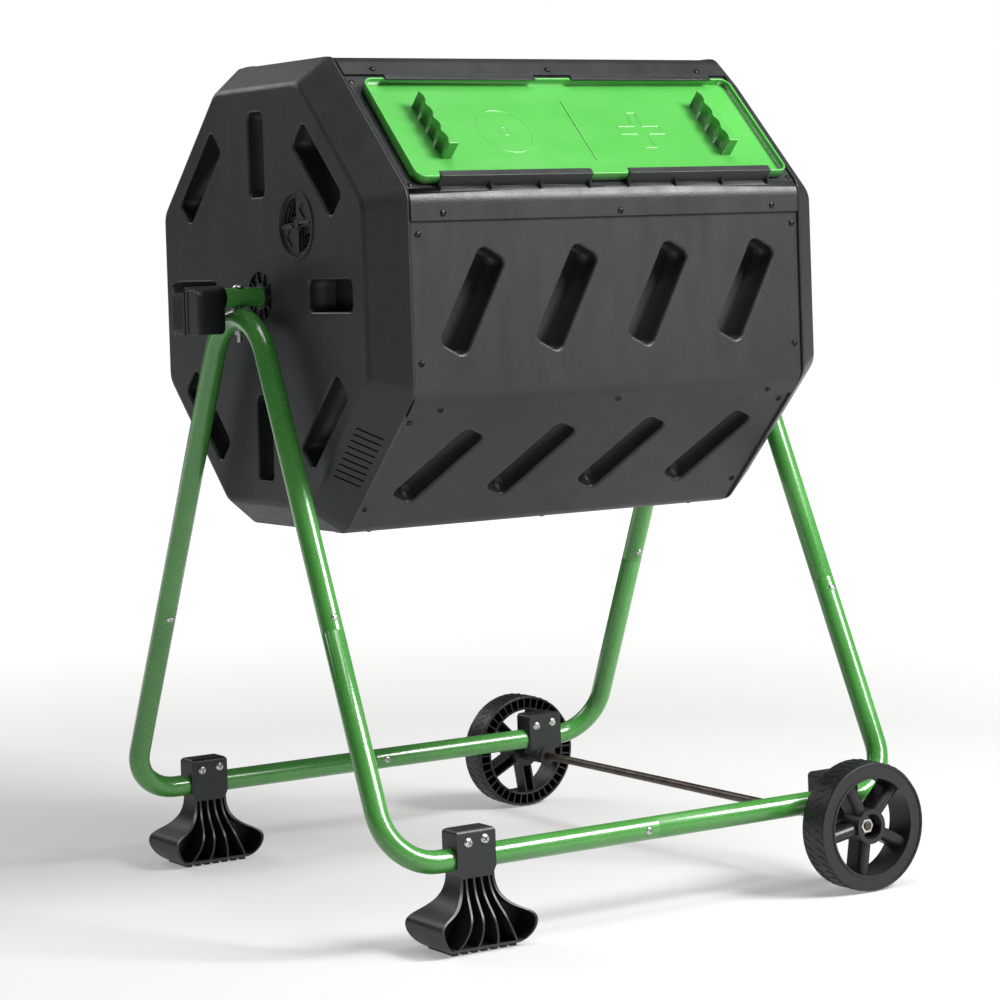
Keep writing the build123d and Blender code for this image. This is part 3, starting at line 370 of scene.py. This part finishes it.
def roundedPiece(node, width):
    shape = mergedMesh(node, width > 0)
    if node in wheels:
        lowerTread(node, shape)
    piece = newPiece(camelName(node), shape)
    if width:
        bevel = piece.modifiers.new("edges", "BEVEL")
        bevel.width = width
        bevel.segments = edgeLook["segments"]
        bevel.limit_method = "ANGLE"
        bevel.angle_limit = math.radians(edgeLook["bevel"])
        bevel.miter_outer = "MITER_ARC"
        applyModifiers(piece)
    smoothed(piece, edgeLook["smooth"])
    settle(piece, node)


chosenAngle = math.radians(50)  # only edges sharper than this are rounded by choice


def roundChosen(shape, chosen, width, segments):
    # rounds only the outer sharp edges that the rule picks
    edges = [edge for edge in shape.edges
             if len(edge.link_faces) == 2 and edge.is_convex
             and edge.calc_face_angle() > chosenAngle and chosen(*(vert.co for vert in edge.verts))]
    bmesh.ops.bevel(shape, geom=edges, offset=width, offset_type="OFFSET", segments=segments, profile=0.5,
                    affect="EDGES", clamp_overlap=False, miter_outer="ARC")
    return len(edges)


drumAxis = sum(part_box("axle_tube"), Vector()) / 2
drumMiddle = sum(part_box("top_panel"), Vector()) / 2
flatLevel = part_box("top_panel")[1].z - drumAxis.z
panelTurns = {"top_panel": 90, "door_frame_panel": 135, "front_panel": 180, "lower_front_panel": 225,
              "bottom_panel": 270, "lower_back_panel": 315, "back_panel": 0, "upper_back_panel": 45}
panelLook = {"mouth": 0.0036, "mouthSegments": 4, "lap": 0.0007, "lapSegments": 2, "mouthReach": (0.24, 0.078),
             "longEdge": 0.06}
flatReach = 0.0002  # how near a flat a point counts as on it, in metres
straightReach = 1e-5  # how little an edge along the drum may drift sideways, in metres


def onFace(turn, point):
    # height over the drum's axis and place up the face
    a = math.radians(turn)
    offset = point - drumAxis
    return offset.y * math.cos(a) + offset.z * math.sin(a), offset.y * math.sin(a) - offset.z * math.cos(a)


def panelPiece(node):
    shape = mergedMesh(node)
    reachX, reachT = panelLook["mouthReach"]

    def isMouth(p, q):
        places = [(onFace(panelTurns[node], point), abs(point.x - drumMiddle.x)) for point in (p, q)]
        return all(abs(h - flatLevel) < flatReach and abs(t) < reachT and x < reachX for (h, t), x in places)

    def isLongEdge(p, q):
        return abs(p.x - q.x) > panelLook["longEdge"] and (p - q).yz.length < straightReach

    mouths = 0
    if node != "door_frame_panel":
        mouths = roundChosen(shape, isMouth, panelLook["mouth"], panelLook["mouthSegments"])
    laps = roundChosen(shape, isLongEdge, panelLook["lap"], panelLook["lapSegments"])
    piece = newPiece(camelName(node), shape)
    smoothed(piece, edgeLook["smooth"])
    settle(piece, node)
    print("panel:", node, mouths, "mouth edges,", laps, "long edges")


capLook = {"mouth": 0.0026, "segments": 3, "rimHeight": 0.0015, "clearVent": 0.041, "clearHub": 0.036,
           "smooth": 30}


def capPiece(node, side):
    # side is -1 for the left end and 1 for the right
    shape = mergedMesh(node)
    low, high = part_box(node)
    flat = low.x + capLook["rimHeight"] if side < 0 else high.x - capLook["rimHeight"]
    pin = sum(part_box(node.replace("end_cap", "vent_pin")), Vector()) / 2

    def isMouth(p, q):
        return all(abs(point.x - flat) < flatReach and (point - pin).yz.length > capLook["clearVent"]
                   and (point - drumAxis).yz.length > capLook["clearHub"] for point in (p, q))

    mouths = roundChosen(shape, isMouth, capLook["mouth"], capLook["segments"])
    piece = newPiece(camelName(node), shape)
    smoothed(piece, capLook["smooth"])
    settle(piece, node)
    print("cap:", node, mouths, "mouth edges")


doorLine = {"gripTop": 0.0012, "segments": 3, "topReach": 0.0005, "smooth": 28}


def doorPiece():
    # the top edges of both finger grips are rounded
    shape = mergedMesh("sliding_door")
    turn = panelTurns["door_frame_panel"]
    top = max(onFace(turn, vert.co)[0] for vert in shape.verts)

    def isGripTop(p, q):
        return all(onFace(turn, point)[0] > top - doorLine["topReach"] for point in (p, q))

    count = roundChosen(shape, isGripTop, doorLine["gripTop"], doorLine["segments"])
    piece = newPiece("slidingDoor", shape)
    smoothed(piece, doorLine["smooth"])
    settle(piece, "sliding_door")
    print("door:", count, "grip edges")


# width of the rounding on each piece, in metres
roundings = {
    "left_hub": 0.0004, "right_hub": 0.0004,
    "left_vent_shutter": 0.0004, "right_vent_shutter": 0.0004,
    "left_vent_mesh": 0, "right_vent_mesh": 0,
    "left_vent_pin": 0, "right_vent_pin": 0,
    "chamber_divider": 0.0006, "divider_bush": 0.0004,
    "left_frame_top": 0, "right_frame_top": 0,
    "front_left_lower_tube": 0, "front_right_lower_tube": 0,
    "back_left_lower_tube": 0, "back_right_lower_tube": 0,
    "front_foot": 0.0012, "back_foot": 0.0012,
    "front_wheel_bracket": 0.0014, "back_wheel_bracket": 0.0014,
    "wheel_axle_rod": 0, "wheel_nuts": 0.0005, "wheel_washers": 0.0003,
    "axle_tube": 0, "axle_bolt_nuts": 0.0005, "foot_bolt_nuts": 0.0005, "bracket_bolt_nuts": 0.0005,
    "lift_grip": 0, "axle_end_plug": 0,
    "front_wheel": 0.0007, "back_wheel": 0.0007,
}

for node, width in roundings.items():
    roundedPiece(node, width)
for node in panelTurns:
    panelPiece(node)
capPiece("left_end_cap", -1)
capPiece("right_end_cap", 1)
doorPiece()
print("rounded pieces made:", len(roundings))


# ---- wheel treads: raised bars laid round each wheel by Geometry Nodes

def nodeIn(tree, kind, settings=None, **inputs):
    node = tree.nodes.new(kind)
    for name, value in (settings or {}).items():
        setattr(node, name, value)
    for name, value in inputs.items():
        socket = node.inputs[name.replace("_", " ")]
        if isinstance(value, bpy.types.NodeSocket):
            tree.links.new(value, socket)
        else:
            socket.default_value = value
    return node


def mathIn(tree, operation, first, second):
    node = tree.nodes.new("ShaderNodeMath")
    node.operation = operation
    for socket, value in zip(node.inputs, (first, second)):
        if isinstance(value, bpy.types.NodeSocket):
            tree.links.new(value, socket)
        else:
            socket.default_value = value
    return node.outputs[0]


def pointsPiece(name, places, direction):
    mesh = bpy.data.meshes.new(name)
    mesh.from_pydata([place for place, vector in places], [], [])
    attribute = mesh.attributes.new(direction, "FLOAT_VECTOR", "POINT")
    for item, (place, vector) in zip(attribute.data, places):
        item.vector = vector
    piece = bpy.data.objects.new(name, mesh)
    scene.collection.objects.link(piece)
    return piece


def setInput(modifier, name, value):
    item = next(i for i in modifier.node_group.interface.items_tree if i.name == name and i.in_out == "INPUT")
    modifier[item.identifier] = value


def newTree(name, sizes):
    tree = bpy.data.node_groups.new(name, "GeometryNodeTree")
    tree.interface.new_socket("Geometry", in_out="INPUT", socket_type="NodeSocketGeometry")
    for size in sizes:
        tree.interface.new_socket(size, in_out="INPUT", socket_type="NodeSocketFloat")
    tree.interface.new_socket("Finish", in_out="INPUT", socket_type="NodeSocketMaterial")
    tree.interface.new_socket("Geometry", in_out="OUTPUT", socket_type="NodeSocketGeometry")
    return tree, tree.nodes.new("NodeGroupInput").outputs


def directionIn(tree, name):
    kind = {"data_type": "FLOAT_VECTOR"}
    return nodeIn(tree, "GeometryNodeInputNamedAttribute", kind, Name=name).outputs[0]


def placeInstances(tree, given, instance, rotation):
    # one instance on every point, made real and given its finish
    placed = nodeIn(tree, "GeometryNodeInstanceOnPoints", Points=given["Geometry"], Instance=instance,
                    Rotation=rotation).outputs[0]
    real = nodeIn(tree, "GeometryNodeRealizeInstances", Geometry=placed).outputs[0]
    done = nodeIn(tree, "GeometryNodeSetMaterial", Geometry=real, Material=given["Finish"]).outputs[0]
    tree.links.new(done, tree.nodes.new("NodeGroupOutput").inputs[0])


def boxIn(tree, x, y, z):
    size = nodeIn(tree, "ShaderNodeCombineXYZ", X=x, Y=y, Z=z).outputs[0]
    return nodeIn(tree, "GeometryNodeMeshCube", Size=size).outputs[0]


def raisedIn(tree, geometry, z):
    offset = nodeIn(tree, "ShaderNodeCombineXYZ", Z=z).outputs[0]
    return nodeIn(tree, "GeometryNodeTransform", Geometry=geometry, Translation=offset).outputs[0]


def makeTreadTree():
    # a bar on every point, turned by the point's own attribute
    tree, given = newTree("treadBars", ("Length", "Width", "Thickness"))
    bar = boxIn(tree, given["Length"], given["Width"], given["Thickness"])
    placeInstances(tree, given, bar, directionIn(tree, "turn"))
    return tree


treadTree = makeTreadTree()


def treadPiece(node, name):
    low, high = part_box(node)
    centre = (low + high) / 2
    rowWidth = (high.y - low.y - 2 * treadLook["margin"]) / treadLook["rows"]
    middle = (high.z - low.z) / 2 - treadLook["thick"] / 2 - treadLook["clear"]
    places = []
    for row in range(treadLook["rows"]):
        y = low.y + treadLook["margin"] + rowWidth * (row + 0.5)
        slant = treadLook["slant"] * (1 if row % 2 else -1)
        for i in range(treadLook["bars"]):
            angle = 2 * math.pi * i / treadLook["bars"]
            place = (centre.x + middle * math.cos(angle), y, centre.z + middle * math.sin(angle))
            turn = Matrix.Rotation(math.pi / 2 - angle, 3, "Y") @ Matrix.Rotation(slant, 3, "Z")
            places.append((place, Vector(turn.to_euler("XYZ"))))
    piece = pointsPiece(name, places, "turn")
    bars = piece.modifiers.new("bars", "NODES")
    bars.node_group = treadTree
    setInput(bars, "Length", treadLook["wide"])
    setInput(bars, "Width", rowWidth / math.cos(treadLook["slant"]))
    setInput(bars, "Thickness", treadLook["thick"])
    setInput(bars, "Finish", finishes[slotOf[node]])
    applyModifiers(piece)
    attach(piece, bodyOf[node])
    print("tread:", name, len(places), "bars")


for node in wheels:
    treadPiece(node, camelName(node) + "Tread")


# ---- screws: heads set by Geometry Nodes on the places of the frame's own fasteners

def islandsOf(node):
    # the points of each separate fastener in a node
    shape = mergedMesh(node)
    seen = set()
    found = []
    for start in shape.verts:
        if start in seen:
            continue
        seen.add(start)
        waiting = [start]
        island = []
        while waiting:
            vert = waiting.pop()
            island.append(vert.co.copy())
            for edge in vert.link_edges:
                other = edge.other_vert(vert)
                if other not in seen:
                    seen.add(other)
                    waiting.append(other)
        found.append(island)
    shape.free()
    return found


endReach = 0.0004  # how near an end a point counts as on it, in metres
axisPasses = 4  # how often the axis is drawn again through the middles of both ends


def fastenerPlace(points):
    # the axis runs between the two ends that lie furthest apart; the wider end is the head
    centre = sum(points, Vector()) / len(points)
    far = max(points, key=lambda p: (p - centre).length)
    axis = (far - centre).normalized()
    for _ in range(axisPasses):
        lengths = [(p - centre).dot(axis) for p in points]
        low, high = min(lengths), max(lengths)
        ends = [[p for p, d in zip(points, lengths) if abs(d - limit) < endReach] for limit in (low, high)]
        middles = [sum(end, Vector()) / len(end) for end in ends]
        axis = (middles[1] - middles[0]).normalized()
    spread = [max((p - middle).length for p in end) for middle, end in zip(middles, ends)]
    if spread[0] > spread[1]:
        middles.reverse()
        axis = -axis
    return middles[1], axis


screwSink = 0.0003  # how far the heads are set in, in metres
screwHeads = {
    "seam_screws": {"radius": 0.0040, "height": 0.0022, "shank": 0.002, "reach": 0.006},
    "rim_screws": {"radius": 0.0040, "height": 0.0022, "shank": 0.002, "reach": 0.006},
    "leg_joint_screws": {"radius": 0.0042, "height": 0.0022, "shank": 0.002, "reach": 0.029},
    "rail_joint_screws": {"radius": 0.0042, "height": 0.0022, "shank": 0.002, "reach": 0.029},
    "foot_bolts": {"radius": 0.0055, "height": 0.0032, "shank": 0.003, "reach": 0.041},
    "bracket_bolts": {"radius": 0.0055, "height": 0.0032, "shank": 0.003, "reach": 0.041},
    "axle_bolts": {"radius": 0.0065, "height": 0.0040, "shank": 0.003, "reach": 0.062},
}


# sides and rings of a head, its cross recess as shares of the head's radius and height, the stem's sides,
# and the share of its length by which it is lowered
headLook = {"sides": 28, "rings": 14, "crossLong": 1.15, "crossWide": 0.24, "crossDeep": 1.1, "stemSides": 16,
            "stemLow": -0.48, "seed": 7}


def makeScrewTree():
    tree, given = newTree("screwHeads", ("Radius", "Height", "Shank", "Reach"))
    radius, height, reach = given["Radius"], given["Height"], given["Reach"]
    # a dome: a sphere flattened to the head's height, its lower half cut off
    ball = nodeIn(tree, "GeometryNodeMeshUVSphere", Segments=headLook["sides"], Rings=headLook["rings"],
                  Radius=radius).outputs[0]
    flatness = mathIn(tree, "DIVIDE", height, radius)
    scale = nodeIn(tree, "ShaderNodeCombineXYZ", X=1.0, Y=1.0, Z=flatness).outputs[0]
    dome = nodeIn(tree, "GeometryNodeTransform", Geometry=ball, Scale=scale).outputs[0]
    size = mathIn(tree, "MULTIPLY", radius, 4.0)
    cutters = [raisedIn(tree, boxIn(tree, size, size, size), mathIn(tree, "MULTIPLY", size, -0.5))]
    # the cross recess
    long = mathIn(tree, "MULTIPLY", radius, headLook["crossLong"])
    wide = mathIn(tree, "MULTIPLY", radius, headLook["crossWide"])
    for x, y in ((long, wide), (wide, long)):
        bar = boxIn(tree, x, y, mathIn(tree, "MULTIPLY", height, headLook["crossDeep"]))
        cutters.append(raisedIn(tree, bar, height))
    cut = tree.nodes.new("GeometryNodeMeshBoolean")
    cut.operation = "DIFFERENCE"
    tree.links.new(dome, cut.inputs["Mesh 1"])
    for cutter in cutters:
        tree.links.new(cutter, cut.inputs["Mesh 2"])
    stem = nodeIn(tree, "GeometryNodeMeshCylinder", Vertices=headLook["stemSides"], Radius=given["Shank"],
                  Depth=reach).outputs[0]
    stem = raisedIn(tree, stem, mathIn(tree, "MULTIPLY", reach, headLook["stemLow"]))
    whole = tree.nodes.new("GeometryNodeJoinGeometry")
    tree.links.new(cut.outputs["Mesh"], whole.inputs[0])
    tree.links.new(stem, whole.inputs[0])
    # each head faces out and has its own turn about its axis
    turn = nodeIn(tree, "FunctionNodeAlignRotationToVector", {"axis": "Z"}, Vector=directionIn(tree, "facing"))
    spin = nodeIn(tree, "FunctionNodeRandomValue", {"data_type": "FLOAT"}, Seed=headLook["seed"])
    spin.inputs[2].default_value, spin.inputs[3].default_value = 0, math.pi / 2
    around = nodeIn(tree, "ShaderNodeCombineXYZ", Z=spin.outputs[1]).outputs[0]
    local = nodeIn(tree, "FunctionNodeRotateRotation", {"rotation_space": "LOCAL"}, Rotation=turn.outputs[0],
                   Rotate_By=around)
    placeInstances(tree, given, whole.outputs[0], local.outputs[0])
    return tree


headSmooth = math.radians(40)  # edges of a head sharper than this are shaded sharp
screwTree = makeScrewTree()
for node, size in screwHeads.items():
    places = []
    for island in islandsOf(node):
        top, axis = fastenerPlace(island)
        places.append((top - axis * (size["height"] + screwSink), axis))
    piece = pointsPiece(camelName(node), places, "facing")
    heads = piece.modifiers.new("heads", "NODES")
    heads.node_group = screwTree
    for name, value in size.items():
        setInput(heads, name.capitalize(), value)
    setInput(heads, "Finish", finishes[slotOf[node]])
    applyModifiers(piece)
    piece.data.shade_smooth()
    piece.data.set_sharp_from_angle(angle=headSmooth)
    settle(piece, node)
    print("screws:", node, len(places))


# ---- floor, light, camera

# the floor glows from "glowNear" close by to "glowFar" far off, so that it fades into the white backdrop
stageLook = {"floorHeight": -0.0005, "floorSize": 16.0, "floorColor": (0.42, 0.42, 0.415), "floorRough": 0.75,
             "glowNear": 0.30, "glowFar": 1.0, "glowReach": (1.2, 3.5), "sky": 0.09, "backdrop": 1.0}
floorMesh = bpy.data.meshes.new("floor")
half = stageLook["floorSize"] / 2
low = stageLook["floorHeight"]
corners = [(-half, -half, low), (half, -half, low), (half, half, low), (-half, half, low)]
floorMesh.from_pydata(corners, [], [(0, 1, 2, 3)])
floor = bpy.data.objects.new("floor", floorMesh)
scene.collection.objects.link(floor)
floorMaterial, tree, shader, place = newMaterial("paleFloor")
shader.inputs["Base Color"].default_value = (*stageLook["floorColor"], 1)
shader.inputs["Roughness"].default_value = stageLook["floorRough"]
shader.inputs["Emission Color"].default_value = (1, 1, 1, 1)
away = tree.nodes.new("ShaderNodeVectorMath")
away.operation = "LENGTH"
tree.links.new(place, away.inputs[0])
glow = rangeOf(tree, away.outputs["Value"], stageLook["glowNear"], stageLook["glowFar"],
               *stageLook["glowReach"])
tree.links.new(glow, shader.inputs["Emission Strength"])
floorMesh.materials.append(floorMaterial)

world = bpy.data.worlds.new("studio")
world.use_nodes = True
tree = world.node_tree
sky = tree.nodes["Background"]
sky.inputs["Color"].default_value = (1, 1, 1, 1)
sky.inputs["Strength"].default_value = stageLook["sky"]
backdrop = tree.nodes.new("ShaderNodeBackground")
backdrop.inputs["Color"].default_value = (1, 1, 1, 1)
backdrop.inputs["Strength"].default_value = stageLook["backdrop"]
rays = tree.nodes.new("ShaderNodeLightPath")
either = tree.nodes.new("ShaderNodeMixShader")
tree.links.new(rays.outputs["Is Camera Ray"], either.inputs[0])
tree.links.new(sky.outputs[0], either.inputs[1])
tree.links.new(backdrop.outputs[0], either.inputs[2])
tree.links.new(either.outputs[0], tree.nodes["World Output"].inputs[0])
scene.world = world

lampTarget = Vector((0, 0, 0.6))
lamps = {
    "key": {"from": (1.9, -2.6, 2.9), "size": 1.5, "power": 300},
    "top": {"from": (0.1, -0.9, 3.6), "size": 1.6, "power": 55},
    "back": {"from": (-1.2, 2.6, 2.6), "size": 2.0, "power": 40},
}
for name, lamp in lamps.items():
    light = bpy.data.lights.new(name, "AREA")
    light.size = lamp["size"]
    light.energy = lamp["power"]
    source = bpy.data.objects.new(name, light)
    source.location = lamp["from"]
    aim = lampTarget - Vector(lamp["from"])
    source.rotation_euler = aim.to_track_quat("-Z", "Y").to_euler()
    scene.collection.objects.link(source)

view = {"place": (-1.905, -3.0411, 0.7337), "yaw": -32.79, "pitch": -1.04, "roll": -1.89,
        "lens": 110.34, "shiftX": -0.0091, "shiftY": -0.1958}
yaw, pitch, roll = (math.radians(view[key]) for key in ("yaw", "pitch", "roll"))
forward = Vector((-math.sin(yaw) * math.cos(pitch), math.cos(yaw) * math.cos(pitch), math.sin(pitch)))
right = Vector((math.cos(yaw), math.sin(yaw), 0))
up = right.cross(forward)
rightRolled = right * math.cos(roll) + up * math.sin(roll)
upRolled = up * math.cos(roll) - right * math.sin(roll)
camera = bpy.data.objects.new("camera", bpy.data.cameras.new("camera"))
camera.data.lens = view["lens"]
camera.data.shift_x = view["shiftX"]
camera.data.shift_y = view["shiftY"]
camera.data.clip_end = 60
turn = Matrix((rightRolled, upRolled, -forward)).transposed().to_4x4()
camera.matrix_world = Matrix.Translation(Vector(view["place"])) @ turn
scene.collection.objects.link(camera)
scene.camera = camera
scene.view_settings.view_transform = "Standard"
